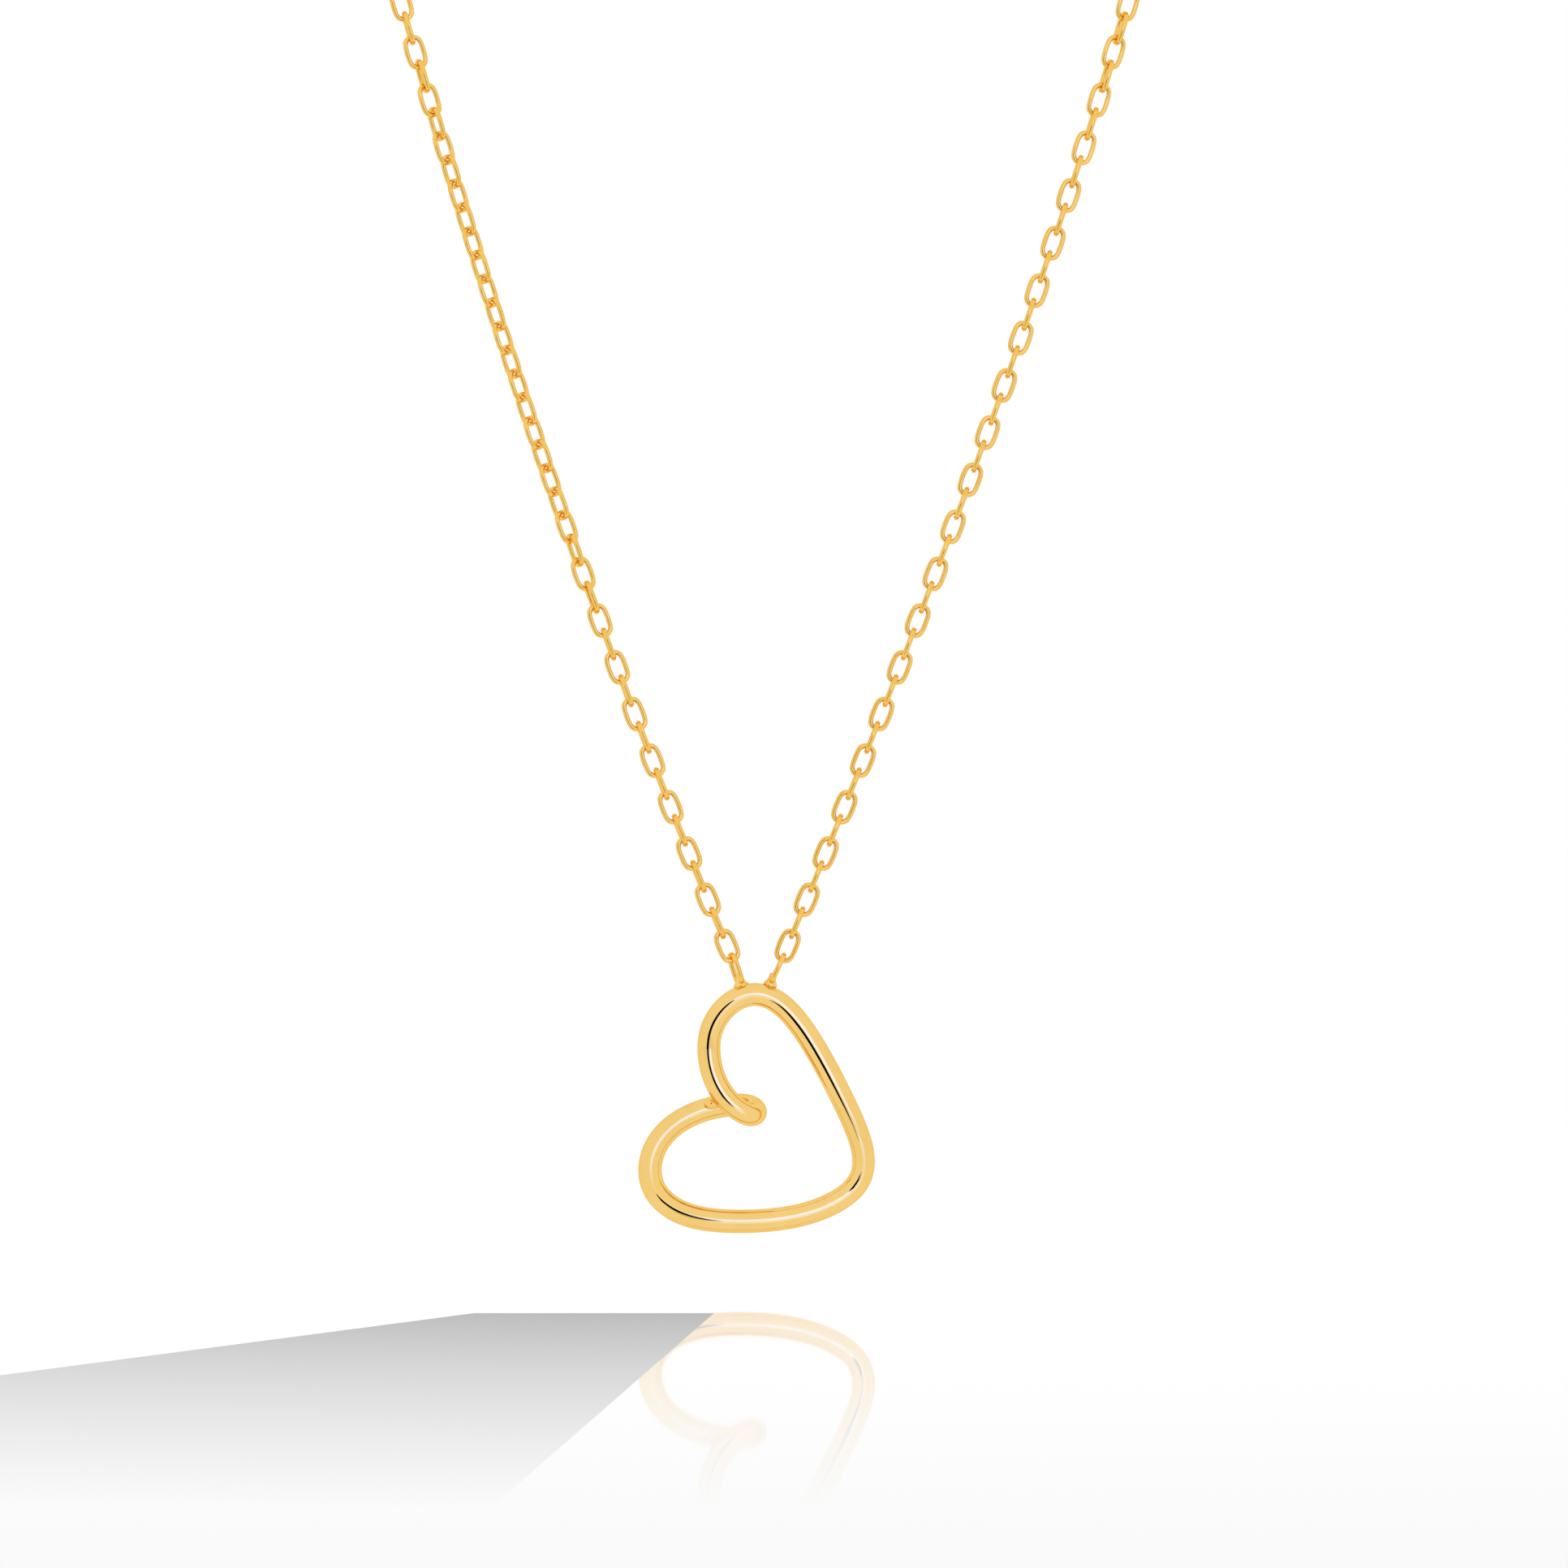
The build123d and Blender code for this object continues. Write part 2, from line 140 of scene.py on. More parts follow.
def gold_finish(name, bright, deep, gloss, hairlines, grain=1.0, dents=0.0):
    """bright and deep are the two golds, gloss the lowest and highest roughness."""
    finish = bpy.data.materials.new(name)
    finish.use_nodes = True
    nodes = finish.node_tree.nodes
    link = finish.node_tree.links.new
    metal = nodes["Principled BSDF"]
    socket(metal, "Metallic", 1.0)
    socket(metal, "Specular Tint", EDGE_TINT)

    place = nodes.new("ShaderNodeTexCoord")
    clouds = nodes.new("ShaderNodeTexNoise")
    socket(clouds, "Scale", CLOUD_SCALE * grain)
    socket(clouds, "Detail", 3.0)
    link(place.outputs["Object"], clouds.inputs["Vector"])

    golds = nodes.new("ShaderNodeValToRGB")
    golds.color_ramp.elements[0].position = 0.35
    golds.color_ramp.elements[0].color = (*deep, 1)
    golds.color_ramp.elements[1].position = 0.62
    golds.color_ramp.elements[1].color = (*bright, 1)
    link(clouds.outputs["Fac"], golds.inputs["Fac"])
    link(golds.outputs["Color"], metal.inputs["Base Color"])

    stretch = nodes.new("ShaderNodeMapping")
    stretch.inputs["Rotation"].default_value = HAIRLINE_TURN
    stretch.inputs["Scale"].default_value = [scale * grain for scale in HAIRLINE_SCALES]
    link(place.outputs["Object"], stretch.inputs["Vector"])
    lines = nodes.new("ShaderNodeTexNoise")
    socket(lines, "Scale", 1.0)
    socket(lines, "Detail", 4.0)
    socket(lines, "Roughness", 0.6)
    link(stretch.outputs["Vector"], lines.inputs["Vector"])

    rough = nodes.new("ShaderNodeMapRange")
    socket(rough, "From Min", 0.35)
    socket(rough, "From Max", 0.75)
    socket(rough, "To Min", gloss[0])
    socket(rough, "To Max", gloss[1])
    link(lines.outputs["Fac"], rough.inputs["Value"])
    link(rough.outputs["Result"], metal.inputs["Roughness"])

    relief = nodes.new("ShaderNodeBump")
    socket(relief, "Strength", hairlines)
    socket(relief, "Distance", HAIRLINE_DEPTH)
    link(lines.outputs["Fac"], relief.inputs["Height"])
    last = relief
    if dents:
        hollows = nodes.new("ShaderNodeTexNoise")
        socket(hollows, "Scale", DENT_SCALE * grain)
        socket(hollows, "Detail", 2.0)
        link(place.outputs["Object"], hollows.inputs["Vector"])
        uneven = nodes.new("ShaderNodeBump")
        socket(uneven, "Strength", dents)
        socket(uneven, "Distance", DENT_DEPTH)
        link(hollows.outputs["Fac"], uneven.inputs["Height"])
        link(relief.outputs["Normal"], uneven.inputs["Normal"])
        last = uneven
    link(last.outputs["Normal"], metal.inputs["Normal"])
    print("finish", name, "roughness", gloss)
    return finish


polished_heart = gold_finish(
    "polished_heart", (0.905, 0.620, 0.205), (0.885, 0.592, 0.182), (0.012, 0.040), 0.025
)
tumbled_chain = gold_finish(
    "tumbled_chain", (0.905, 0.565, 0.130), (0.880, 0.535, 0.110), (0.04, 0.10), 0.04
)
pale_solder = gold_finish(
    "pale_solder", (0.910, 0.620, 0.200), (0.870, 0.550, 0.135), (0.05, 0.14), 0.05, dents=0.30
)
clasp_plate = gold_finish(
    "clasp_plate", (0.900, 0.590, 0.165), (0.875, 0.560, 0.145), (0.05, 0.13), 0.15, grain=1.5
)


# %% [markdown]
# ## The spring wire
#
# The bolt's spring isn't plated: it is bright drawn steel. It takes the same recipe, with two greys
# in place of the two golds.

# %% Spring steel
spring_wire = gold_finish(
    "spring_wire", (0.62, 0.62, 0.63), (0.50, 0.50, 0.51), (0.15, 0.28), 0.25, grain=2.0
)


# %% [markdown]
# ## The heart's wire
#
# The real heart is one length of round wire. It comes down from its crown on the left, turns back on
# itself in depth at the cleft, runs out behind itself, goes round the lower left bend, along the
# bottom, round the right corner and up the long side to the crown again.
#
# It could be extruded or spun bend by bend, but a hand-bent wire has no true arcs, and a mirror
# polish shows every change of curvature. So we draw it as a curve: one point clicked for each bend,
# the curve closed and made a NURBS spline, and the wire's thickness given to it at the end. A NURBS
# spline stays inside its points, so each point is pushed out a little first.
#
# Each point is given in millimetres from the crown of the heart: across, depth and height, and then
# the wire's thickness there, because bending thins it a little at the tight corner and leaves it
# fuller at the lower left. Across and height follow the CAD's bends. The depths are ours in part:
# the CAD lays the bottom, the right corner and the long side flat, and here they stand up to four
# tenths of a millimetre back. No hand-bent wire lies quite flat, and that is why a reflection runs
# along one stretch of it and then slips off.

# %% The bends
HEART_WIRE = 1.36 * MM
FRONT_LEG = -0.12
REAR_LEG = 1.40
OUTWARD_PUSH = 0.05
CROWN_DROP = 1.785 * MM
bends = [
    (-0.10, FRONT_LEG, -7.60, 1.00),
    (-0.05, REAR_LEG, -6.65, 1.00),
    (-3.20, REAR_LEG, -6.90, 0.99),
    (-5.90, 0.87, -8.60, 1.00),
    (-6.45, 0.48, -11.40, 1.03),
    (-4.45, 0.02, -13.25, 1.04),
    (-1.05, 0.00, -13.60, 1.01),
    (2.15, 0.12, -13.35, 1.00),
    (4.55, 0.28, -12.55, 0.99),
    (6.25, 0.40, -11.20, 0.97),
    (6.30, 0.06, -9.10, 0.98),
    (5.05, 0.00, -6.35, 1.00),
    (3.55, 0.00, -3.45, 1.01),
    (1.55, 0.02, -0.60, 1.00),
    (-0.80, -0.10, 0.00, 0.99),
    (-3.06, -0.12, -2.30, 1.00),
    (-2.35, -0.12, -6.05, 1.00),
]
swing = Vector(joints["pendant_swing"]["pos_m"])
heart_low, heart_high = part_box("heart_wire")
crown = swing - Vector((0, 0, CROWN_DROP))
print("crown of the heart", crown, "which swings on", swing)


# %% Draw the wire
def bend_points():
    spots = [crown + Vector(bend[:3]) * MM for bend in bends]
    pushed = []
    for i, spot in enumerate(spots):
        after = spots[(i + 1) % len(spots)]
        pushed.append(spot + (2 * spot - spots[i - 1] - after) * OUTWARD_PUSH)
    return pushed


bpy.ops.object.select_all(action="DESELECT")
bpy.ops.curve.primitive_nurbs_path_add(radius=MM, location=(0, 0, 0))
heart = bpy.context.object
bpy.ops.object.mode_set(mode="EDIT")
bpy.ops.curve.select_all(action="SELECT")
bpy.ops.curve.delete(type="VERT")
for spot in bend_points():
    bpy.ops.curve.vertex_add(location=spot)
bpy.ops.curve.select_all(action="SELECT")
bpy.ops.curve.spline_type_set(type="NURBS")
bpy.ops.curve.cyclic_toggle()
bpy.ops.object.mode_set(mode="OBJECT")
line = heart.data.splines[0]
line.use_bezier_u = False
line.use_endpoint_u = False
line.order_u = 4
for point, bend in zip(line.points, bends):
    point.radius = bend[3]
heart.data.resolution_u = 20
heart.data.bevel_depth = HEART_WIRE / 2
heart.data.bevel_resolution = 12
print("the wire has", len(line.points), "bends, closed:", line.use_cyclic_u)


# %% Make it a mesh
pick(heart)
bpy.ops.object.convert(target="MESH")
heart = settle(bpy.context.object, "heart_of_wire")
open_mesh(heart)
bpy.ops.mesh.select_all(action="SELECT")
bpy.ops.mesh.remove_doubles(threshold=0.001 * MM)
bpy.ops.mesh.normals_make_consistent(inside=False)
close_mesh()
bpy.ops.object.shade_smooth()
wear(heart, polished_heart)
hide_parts("heart_wire")
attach(heart, "pendant")
print("heart", heart.dimensions, "against the CAD's", heart_high - heart_low, triangles(heart))


# %% [markdown]
# ## One link of the chain
#
# A cable chain is made of closed oval links, each a quarter turn from its neighbour. A machine winds
# the wire, cuts it, and closes and solders each link. The joint is too small to show, so we leave it
# out.
#
# A link repeats more than three hundred times, so it has to be light. A torus with few faces is cut
# in two halves that are moved apart, which leaves straight sides between round ends, and one level
# of Subdivision Surface rounds it. Subdivision draws a coarse ring inwards, so we measure the result
# and scale it to the CAD link's size.

# %% Measure a CAD link
LINKS_PER_LEVEL = 8
CAD_LINK_VERTICES = len(frame["nodes"]["chain_left_01"].data.vertices) // LINKS_PER_LEVEL


def link_places(node):
    """Centre, long direction and flat side's normal of each link in a CAD node, in order."""
    mesh = frame["nodes"][node].data
    spots = np.empty(len(mesh.vertices) * 3)
    mesh.vertices.foreach_get("co", spots)
    places = []
    for cloud in spots.reshape(-1, CAD_LINK_VERTICES, 3):
        middle = (cloud.min(0) + cloud.max(0)) / 2
        ways = np.linalg.eigh(np.cov((cloud - middle).T))[1]
        places.append((Vector(middle), Vector(ways[:, 2]), Vector(ways[:, 0]), cloud))
    return places


first_link = link_places("chain_left_01")[0]
spread = first_link[3] - np.array(first_link[0])
LINK_LENGTH = np.ptp(spread @ np.array(first_link[1]))
LINK_WIRE = np.ptp(spread @ np.array(first_link[2]))
LINK_WIDTH = np.ptp(spread @ np.cross(first_link[1], first_link[2]))
print("a CAD link in mm:", LINK_LENGTH / MM, LINK_WIDTH / MM, LINK_WIRE / MM)


# %% Model one link
def shown_size(piece):
    shown = piece.evaluated_get(bpy.context.evaluated_depsgraph_get())
    corners = np.array([vertex.co for vertex in shown.to_mesh().vertices])
    return np.ptp(corners, axis=0)


SIX_SIDED_SHRINK = 0.84
ROUND = 12
bpy.ops.object.select_all(action="DESELECT")
bpy.ops.mesh.primitive_torus_add(
    major_segments=ROUND,
    minor_segments=6,
    major_radius=(LINK_WIDTH - LINK_WIRE) / 2,
    minor_radius=LINK_WIRE / 2 / SIX_SIDED_SHRINK,
    rotation=(math.pi / 2, 0, 0),
)
one_link = settle(bpy.context.object, "one_link")
open_mesh(one_link)
bpy.ops.mesh.select_all(action="SELECT")
half_a_step = math.pi / ROUND
bpy.ops.transform.rotate(value=half_a_step, orient_axis="Y", center_override=(0, 0, 0))
close_mesh()
for way in (1, -1):
    open_mesh(one_link, lambda co: co.z * way > 0)
    bpy.ops.transform.translate(value=(0, 0, way * (LINK_LENGTH - LINK_WIDTH) / 2))
    close_mesh()
rounding = one_link.modifiers.new("Rounding", "SUBSURF")
rounding.levels = rounding.render_levels = 1
size = shown_size(one_link)
open_mesh(one_link)
bpy.ops.mesh.select_all(action="SELECT")
fit = (LINK_WIDTH / size[0], LINK_WIRE / size[1], LINK_LENGTH / size[2])
bpy.ops.transform.resize(value=fit, center_override=(0, 0, 0))
close_mesh()
bpy.ops.object.shade_smooth()
wear(one_link, tumbled_chain)
print("link", shown_size(one_link) / MM, "mm with", len(one_link.data.polygons), "faces")


# %% [markdown]
# ## The chain
#
# Each stretch of the CAD chain becomes one piece, which rides on the body of the node it replaces.
# The place and the turn of each link are read from the CAD node's own mesh, and every link is rolled
# by up to two degrees, because no real link hangs exactly square.

# %% Lay the links
rolls = random.Random(7)
MOST_ROLL = 2
LEVELS = 8


def lay_link(place, along, flat_way, roll):
    """A copy of the link at its place, with a mesh of its own."""
    copy = one_link.copy()
    copy.data = one_link.data.copy()
    bpy.context.scene.collection.objects.link(copy)
    across = along.cross(flat_way).normalized()
    turned = Matrix((across, flat_way, along)).transposed().to_4x4()
    roll_about = Matrix.Rotation(math.radians(roll), 4, "Z")
    copy.matrix_world = Matrix.Translation(place) @ turned @ roll_about
    return copy


def lay_chain(name, node, body):
    copies = [
        lay_link(*where[:3], rolls.uniform(-MOST_ROLL, MOST_ROLL))
        for where in link_places(node)
    ]
    pick(*copies)
    bpy.ops.object.join()
    piece = settle(bpy.context.object, name)
    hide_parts(node)
    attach(piece, body)
    return piece


for side in ("left", "right"):
    for level in range(1, LEVELS + 1):
        lay_chain(f"links_{side}_{level:02d}", f"chain_{side}_{level:02d}", f"front_{level:02d}")
    lay_chain(f"neck_links_{side}", f"collar_{side}_front", "neck_run")
    piece = lay_chain(f"nape_links_{side}", f"collar_{side}_rear", "nape_run")
    print(side, "strand laid; its last piece has", triangles(piece), "triangles")


# %% [markdown]
# ## The two attach links
#
# The lowest link of each strand is soldered to the heart and stands upright on it. The left one is
# turned, so that both its wires are seen; the right one stands edge-on. The CAD cuts them where they
# sink into the heart, so their places come from the strand's lowest link: one pitch further down.

# %% Stand the attach links on the heart
LINK_PLAY = 0.035 * MM
HALF_PITCH = LINK_LENGTH / 2 - LINK_WIRE - LINK_PLAY / 2


def attach_place(side, slope):
    low, along = link_places(f"chain_{side}_01")[0][:2]
    along = along if along.z > 0 else -along
    hook = low - along * HALF_PITCH
    stands = Vector((slope, 0, 1)).normalized()
    return hook - stands * HALF_PITCH, stands


feet = {}
for side, slope, turn in (("left", -0.32, 110), ("right", 0.46, 90)):
    place, along = attach_place(side, slope)
    facing = Matrix.Rotation(math.radians(turn), 3, along) @ Vector((0, 1, 0))
    facing = (facing - along * facing.dot(along)).normalized()
    piece = settle(lay_link(place, along, facing, 0), f"attach_link_{side}_of_wire")
    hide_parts(f"attach_link_{side}")
    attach(piece, "pendant")
    feet[side] = (place - along * LINK_LENGTH / 2, along)
    print(side, "attach link stands at", feet[side][0])
bpy.data.objects.remove(one_link)


# %% [markdown]
# ## Solder
#
# Where a link meets the heart there is a small cone of solder. It ran up the link's wire and out
# over the polished wire while it was liquid, and it set a little uneven. Rings are cut into a cone
# and drawn in, and its vertices are moved at random by a few hundredths of a millimetre; the base is
# then pulled onto the heart's surface, as the solder wetted it. Where the wire's two legs cross at
# the cleft, a flattened ball of the same solder fills the corner.

# %% Model a solder foot
FOOT_SIDES = 13
FOOT_TOP = 0.24 * MM
RINGS = ((0.20, 0.78), (0.45, 0.74), (0.72, 0.86))
UNEVEN = 0.03 * MM
BASE_BAND = 0.05 * MM
SINK = 0.015 * MM


def solder_foot(side, seed, wide, tall, lean):
    """A flared cone: rings are cut into it, each ring is drawn in, and the base wets the heart."""
    foot, along = feet[side]
    bpy.ops.object.select_all(action="DESELECT")
    bpy.ops.mesh.primitive_cone_add(
        vertices=FOOT_SIDES,
        radius1=wide * MM,
        radius2=FOOT_TOP,
        depth=tall * MM,
        location=(0, 0, tall / 2 * MM),
    )
    blob = bpy.context.object
    settle(blob, f"solder_foot_{side}")
    for share, drawn_in in RINGS:
        level = share * tall * MM
        open_mesh(blob)
        bpy.ops.mesh.select_all(action="SELECT")
        bpy.ops.mesh.bisect(plane_co=(0, 0, level), plane_no=(0, 0, 1))
        close_mesh()
        open_mesh(blob, lambda co: abs(co.z - level) < 0.01 * MM)
        bpy.ops.transform.resize(value=(drawn_in, drawn_in, 1), center_override=(0, 0, level))
        close_mesh()
    open_mesh(blob)
    bpy.ops.mesh.select_all(action="SELECT")
    bpy.ops.transform.vertex_random(offset=UNEVEN, seed=seed)
    close_mesh()
    base = blob.vertex_groups.new(name="wetted")
    low = [vertex.index for vertex in blob.data.vertices if vertex.co.z < BASE_BAND]
    base.add(low, 1.0, "REPLACE")
    upright = (along + Vector((lean, 0, 0))).normalized()
    turn = upright.to_track_quat("Z", "Y").to_matrix().to_4x4()
    blob.matrix_world = Matrix.Translation(foot) @ turn
    settle(blob, blob.name)
    wet = blob.modifiers.new("Wet", "SHRINKWRAP")
    wet.target = heart
    wet.vertex_group = "wetted"
    wet.offset = -SINK
    bpy.ops.object.modifier_apply(modifier="Wet")
    blob.vertex_groups.clear()
    return blob


def set_solder(blob, levels, node):
    """Rounded, finished and fixed to the heart."""
    soften = blob.modifiers.new("Soften", "SUBSURF")
    soften.levels = soften.render_levels = levels
    pick(blob)
    bpy.ops.object.modifier_apply(modifier="Soften")
    bpy.ops.object.shade_smooth()
    wear(blob, pale_solder)
    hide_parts(node)
    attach(blob, "pendant")
    print(blob.name, triangles(blob), "triangles")


# %% Solder feet
for side, seed, wide, tall, lean in (
    ("left", 3, 0.60, 0.80, 0.15),
    ("right", 8, 0.54, 0.74, -0.15),
):
    set_solder(solder_foot(side, seed, wide, tall, lean), 3, f"heart_solder_{side}")


# %% Solder at the crossing
CROSSING_RADIUS = 0.42 * MM
TO_THE_CORNER = Vector((-0.12, -0.02, 0.02)) * MM
cross_low, cross_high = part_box("heart_crossing_solder")
cross_middle = (cross_low + cross_high) / 2
bpy.ops.object.select_all(action="DESELECT")
bpy.ops.mesh.primitive_ico_sphere_add(
    subdivisions=3, radius=CROSSING_RADIUS, location=cross_middle + TO_THE_CORNER
)
crossing = settle(bpy.context.object, "solder_at_the_crossing")
open_mesh(crossing)
bpy.ops.mesh.select_all(action="SELECT")
bpy.ops.transform.resize(value=(1.25, 0.85, 0.80), center_override=cross_middle)
bpy.ops.transform.vertex_random(offset=UNEVEN, seed=5)
close_mesh()
set_solder(crossing, 1, "heart_crossing_solder")


# %% [markdown]
# ## The clasp
#
# The bolt ring, its eye, the bolt with its thumb lug, the two rings and the blank tag have the right
# shape in the CAD. They keep it and get their finish.

# %% Finish the CAD nodes of the clasp
def finish_node(node, finish):
    piece = frame["nodes"][node]
    if not piece.material_slots:
        piece.data.materials.append(finish)
    for place in piece.material_slots:
        place.material = finish


for node in (
    "bolt_ring_body", "bolt_ring_eye", "bolt", "thumb_lug", "jump_ring", "catch_ring", "blank_tag"
):
    finish_node(node, clasp_plate)
finish_node("bolt_spring", spring_wire)


# %% [markdown]
# ## The studio
#
# A jeweller's light tent: white on all sides, a glossy white floor below, and a gap in the tent
# where the camera looks in. Polished gold is a mirror, so what we see on it is the tent.

# %% The tent
scene = bpy.context.scene
scene.view_settings.view_transform = "Standard"
tent = bpy.data.worlds.new("light_tent")
scene.world = tent
tent.use_nodes = True
sky = tent.node_tree.nodes["Background"]
socket(sky, "Strength", 1.0)
socket(sky, "Color", (1, 1, 1, 1))
print("tent lit")


# %% [markdown]
# The floor glows white by itself, and it mirrors most right under the heart. The mirror fades with
# distance, and the glow is painted a little darker towards the front edge: painted shade.

# %% The floor
FLOOR_DROP = 18.33 * MM
MIRROR_FADES = (44 * MM, 196 * MM)
# where the painted shade on the floor's glow begins and ends, in metres along the floor's depth
FRONT_SHADE_PAINTED = (-95 * MM, -260 * MM)
floor_level = swing.z - FLOOR_DROP
bpy.ops.object.select_all(action="DESELECT")
bpy.ops.mesh.primitive_plane_add(size=4.0, location=(0, 0, floor_level))
floor = settle(bpy.context.object, "floor")
sheen = bpy.data.materials.new("glossy_white_floor")
sheen.use_nodes = True
nodes = sheen.node_tree.nodes
link = sheen.node_tree.links.new
nodes.remove(nodes["Principled BSDF"])
place = nodes.new("ShaderNodeTexCoord")
flat = nodes.new("ShaderNodeVectorMath")
flat.operation = "MULTIPLY"
flat.inputs[1].default_value = (1, 1, 0)
link(place.outputs["Object"], flat.inputs[0])
reach = nodes.new("ShaderNodeVectorMath")
reach.operation = "LENGTH"
link(flat.outputs["Vector"], reach.inputs[0])
gloss = nodes.new("ShaderNodeMapRange")
socket(gloss, "From Min", MIRROR_FADES[0])
socket(gloss, "From Max", MIRROR_FADES[1])
socket(gloss, "To Min", 0.50)
socket(gloss, "To Max", 0.0)
link(reach.outputs["Value"], gloss.inputs["Value"])
parts = nodes.new("ShaderNodeSeparateXYZ")
link(place.outputs["Object"], parts.inputs["Vector"])
# painted shade: the floor's glow is made darker towards the front edge, where light would fall off
painted_front_shade = nodes.new("ShaderNodeMapRange")
socket(painted_front_shade, "From Min", FRONT_SHADE_PAINTED[0])
socket(painted_front_shade, "From Max", FRONT_SHADE_PAINTED[1])
socket(painted_front_shade, "To Min", 1.0)
socket(painted_front_shade, "To Max", 0.94)
link(parts.outputs["Y"], painted_front_shade.inputs["Value"])
white = nodes.new("ShaderNodeEmission")
link(painted_front_shade.outputs["Result"], white.inputs["Strength"])
mirror = nodes.new("ShaderNodeBsdfGlossy")
socket(mirror, "Roughness", 0.02)
socket(mirror, "Color", (1, 1, 1, 1))
both = nodes.new("ShaderNodeMixShader")
link(gloss.outputs["Result"], both.inputs["Fac"])
link(white.outputs["Emission"], both.inputs[1])
link(mirror.outputs["BSDF"], both.inputs[2])
link(both.outputs["Shader"], nodes["Material Output"].inputs["Surface"])
wear(floor, sheen)
print("floor at", floor_level)


# %% [markdown]
# The gap is the thin dark line along the wire, and the lamp beside the gap is the white line next to
# it. Both are cards in front of the heart that the camera itself doesn't see. The gap's corners are
# bevelled until it is an oval, so that the dark line tapers at its ends.

# %% The gap in the tent
CARD_DISTANCE = 640 * MM
TO_HEART_MIDDLE = 7 * MM


def hide_from_camera(made, name):
    made.name = name
    made.visible_camera = False
    made.visible_shadow = False


def card(name, left, right, low, high, distance):
    """An upright card that faces the heart, its sides given in degrees from the camera's line."""
    reach = [math.tan(math.radians(angle)) * distance for angle in (left, right, low, high)]
    middle = Vector(((reach[0] + reach[1]) / 2, -distance, (reach[2] + reach[3]) / 2))
    bpy.ops.object.select_all(action="DESELECT")
    bpy.ops.mesh.primitive_plane_add(size=1, rotation=(math.pi / 2, 0, 0))
    made = bpy.context.object
    made.scale = (reach[1] - reach[0], reach[3] - reach[2], 1)
    made.location = Vector((swing.x, 0, crown.z - TO_HEART_MIDDLE)) + middle
    hide_from_camera(made, name)
    return made


gap = card("gap_in_the_tent", -23, 1, -22, 13, CARD_DISTANCE)
open_mesh(gap)
bpy.ops.mesh.select_all(action="SELECT")
bpy.ops.mesh.bevel(offset_type="PERCENT", offset_pct=50, segments=8, affect="VERTICES")
close_mesh()
print("the gap has", len(gap.data.vertices), "corners")
dark = bpy.data.materials.new("dark_gap")
dark.use_nodes = True
cloth = dark.node_tree.nodes["Principled BSDF"]
socket(cloth, "Base Color", (0.0, 0.0, 0.0, 1))
socket(cloth, "Roughness", 1.0)
socket(cloth, "Specular IOR Level", 0.0)
wear(gap, dark)


# %% [markdown]
# The floor is so close below the heart that it hides the lower half of the gap, and the dark line
# would stop halfway down the wire. So the gap goes on as a dark strip that lies on the floor, from
# near the heart out to the card. The camera doesn't see the strip itself, but the floor's mirror
# does: it leaves a grey patch on the floor to the left of the heart. That is a known fault.

# %% The gap along the floor
STRIP_SIDES = (-20, -3)
STRIP_NEAR = 42 * MM
STRIP_LIFT = 0.2 * MM
bpy.ops.object.select_all(action="DESELECT")
bpy.ops.mesh.primitive_plane_add(size=1)
strip = bpy.context.object
ends = [(angle, ahead) for ahead in (CARD_DISTANCE, STRIP_NEAR) for angle in STRIP_SIDES]
for corner, (angle, ahead) in zip(strip.data.vertices, ends):
    corner.co = (math.tan(math.radians(angle)) * ahead, -ahead, 0)
strip.location = (swing.x, 0, floor_level + STRIP_LIFT)
hide_from_camera(strip, "gap_along_the_floor")
wear(strip, dark)
print("dark strip on the floor from", STRIP_NEAR, "to", CARD_DISTANCE, "m in front")


# %% [markdown]
# Gold gives back little blue, so a white lamp strong enough to look white in it would drown the dark
# line beside it. The lamp is therefore blue: what the gold gives back of tent and lamp together is
# white and no brighter than the tent. It is brightest near the gap and fades to nothing.

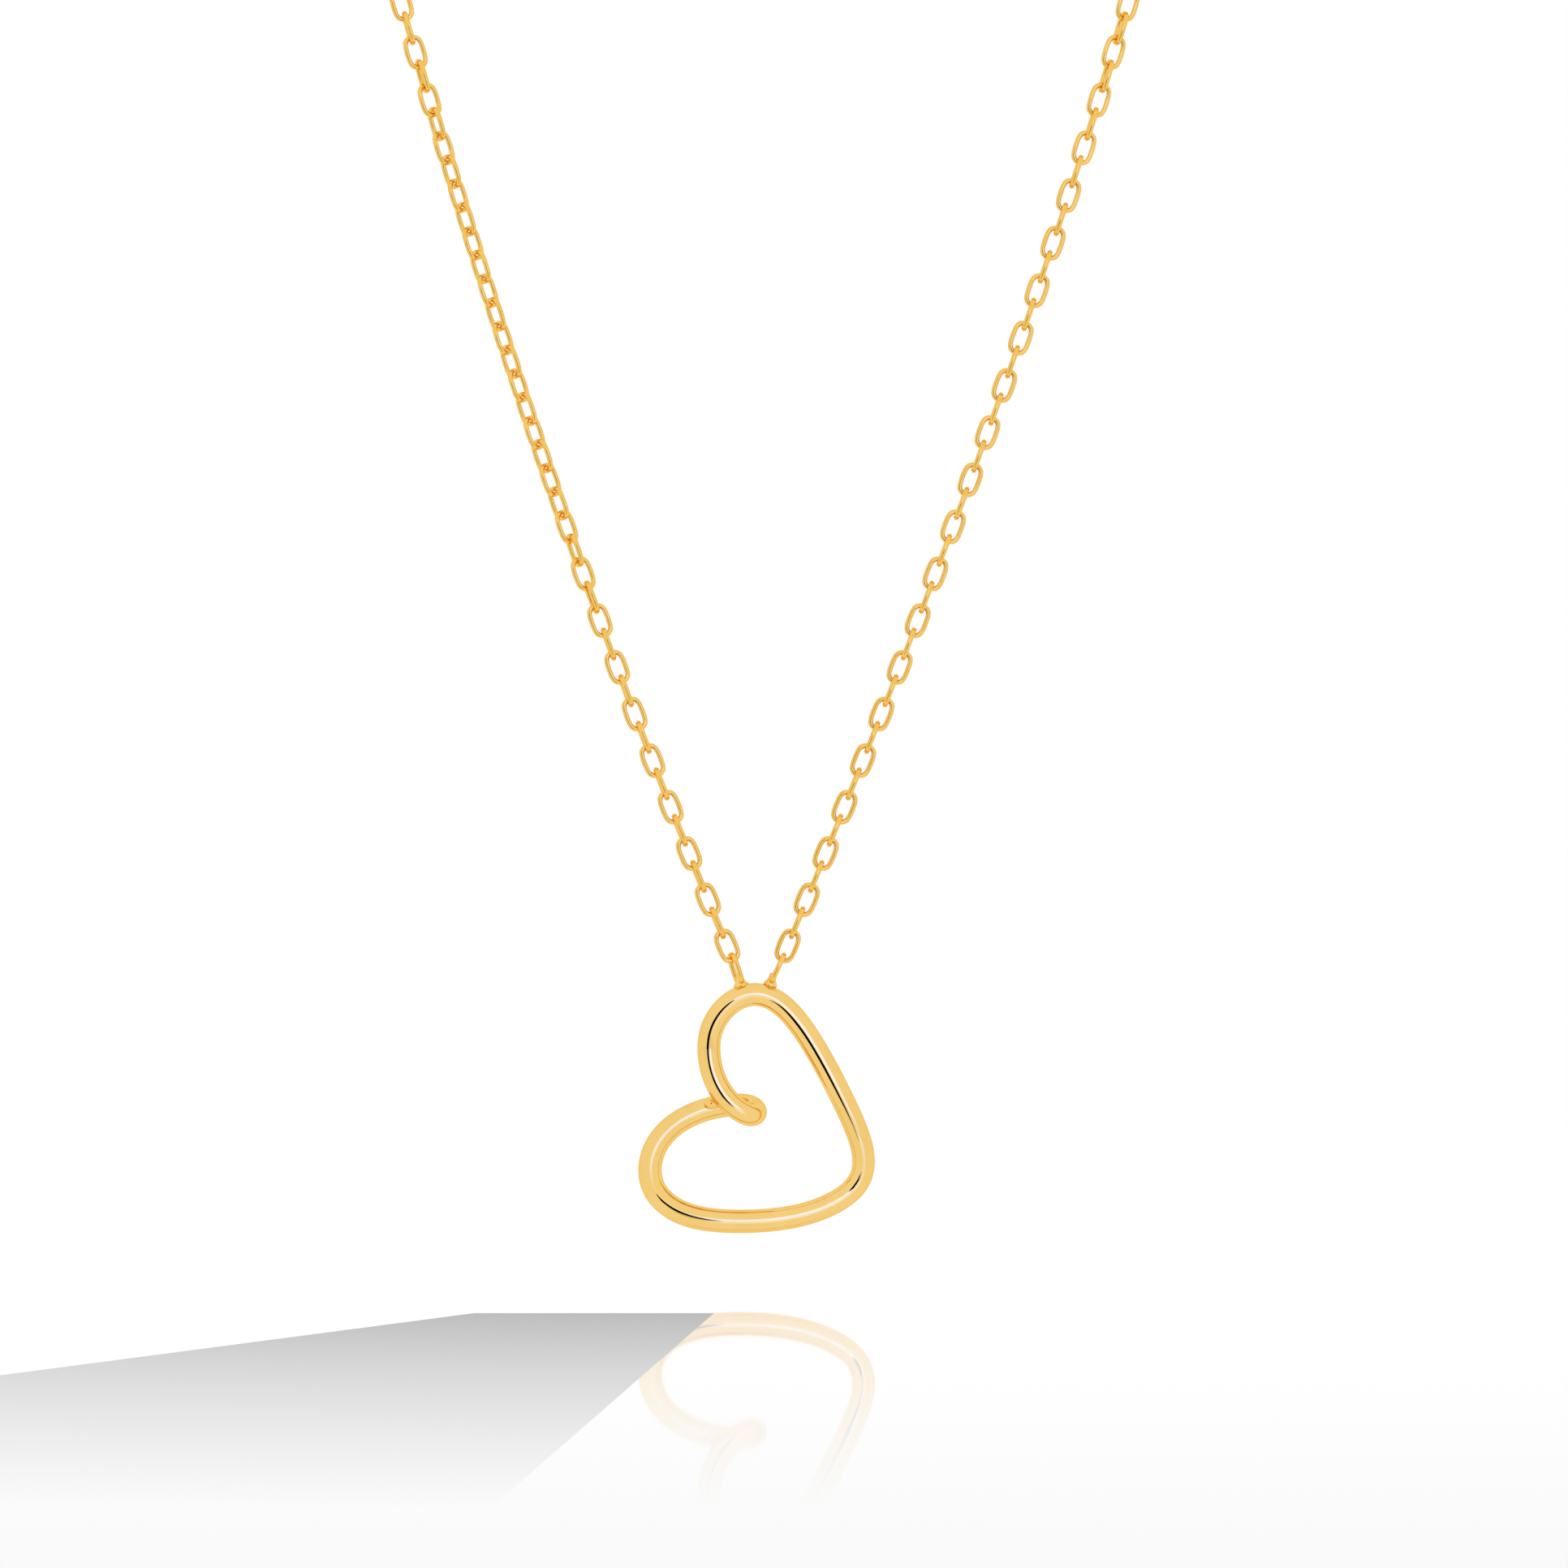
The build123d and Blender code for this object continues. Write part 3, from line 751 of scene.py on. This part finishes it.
# %% The lamp beside the gap
LAMP_MIDDLE = (-0.53, -0.42, 0)
LAMP_BLUE = (0.12, 0.60, 3.90, 1)
lamp = card("lamp_beside_the_gap", -26, 36, -24, 38, CARD_DISTANCE + 10 * MM)
glow = bpy.data.materials.new("soft_lamp")
glow.use_nodes = True
nodes = glow.node_tree.nodes
link = glow.node_tree.links.new
nodes.remove(nodes["Principled BSDF"])
place = nodes.new("ShaderNodeTexCoord")
centre = nodes.new("ShaderNodeMapping")
centre.inputs["Location"].default_value = LAMP_MIDDLE
link(place.outputs["UV"], centre.inputs["Vector"])
reach = nodes.new("ShaderNodeVectorMath")
reach.operation = "LENGTH"
link(centre.outputs["Vector"], reach.inputs[0])
fade = nodes.new("ShaderNodeMapRange")
fade.interpolation_type = "SMOOTHSTEP"
socket(fade, "From Min", 0.02)
socket(fade, "From Max", 0.36)
socket(fade, "To Min", 0.90)
socket(fade, "To Max", 0.0)
link(reach.outputs["Value"], fade.inputs["Value"])
bright = nodes.new("ShaderNodeEmission")
socket(bright, "Color", LAMP_BLUE)
link(fade.outputs["Result"], bright.inputs["Strength"])
clear = nodes.new("ShaderNodeBsdfTransparent")
add = nodes.new("ShaderNodeAddShader")
link(bright.outputs["Emission"], add.inputs[0])
link(clear.outputs["BSDF"], add.inputs[1])
link(add.outputs["Shader"], nodes["Material Output"].inputs["Surface"])
wear(lamp, glow)
print("gap and lamp stand", CARD_DISTANCE, "m in front")


# %% [markdown]
# ## The camera
#
# A long lens, level with a point a little above the heart, so that the strands rise out of the top
# of the picture and the floor is seen almost edge-on.

# %% Set the camera
CAMERA_DISTANCE = 600 * MM
VIEW_WIDTH = 91.96 * MM
SENSOR = 36
TO_CAMERA = Vector((1.62 * MM, -CAMERA_DISTANCE, 10.33 * MM))
bpy.ops.object.camera_add(location=swing + TO_CAMERA, rotation=(math.pi / 2, 0, 0))
camera = bpy.context.object
camera.data.sensor_width = SENSOR
camera.data.lens = SENSOR * CAMERA_DISTANCE / VIEW_WIDTH
camera.data.clip_start = 0.01
camera.data.clip_end = 10
scene.camera = camera
print("camera at", camera.location, "lens", camera.data.lens)


# %% Finish
bpy.context.view_layer.update()
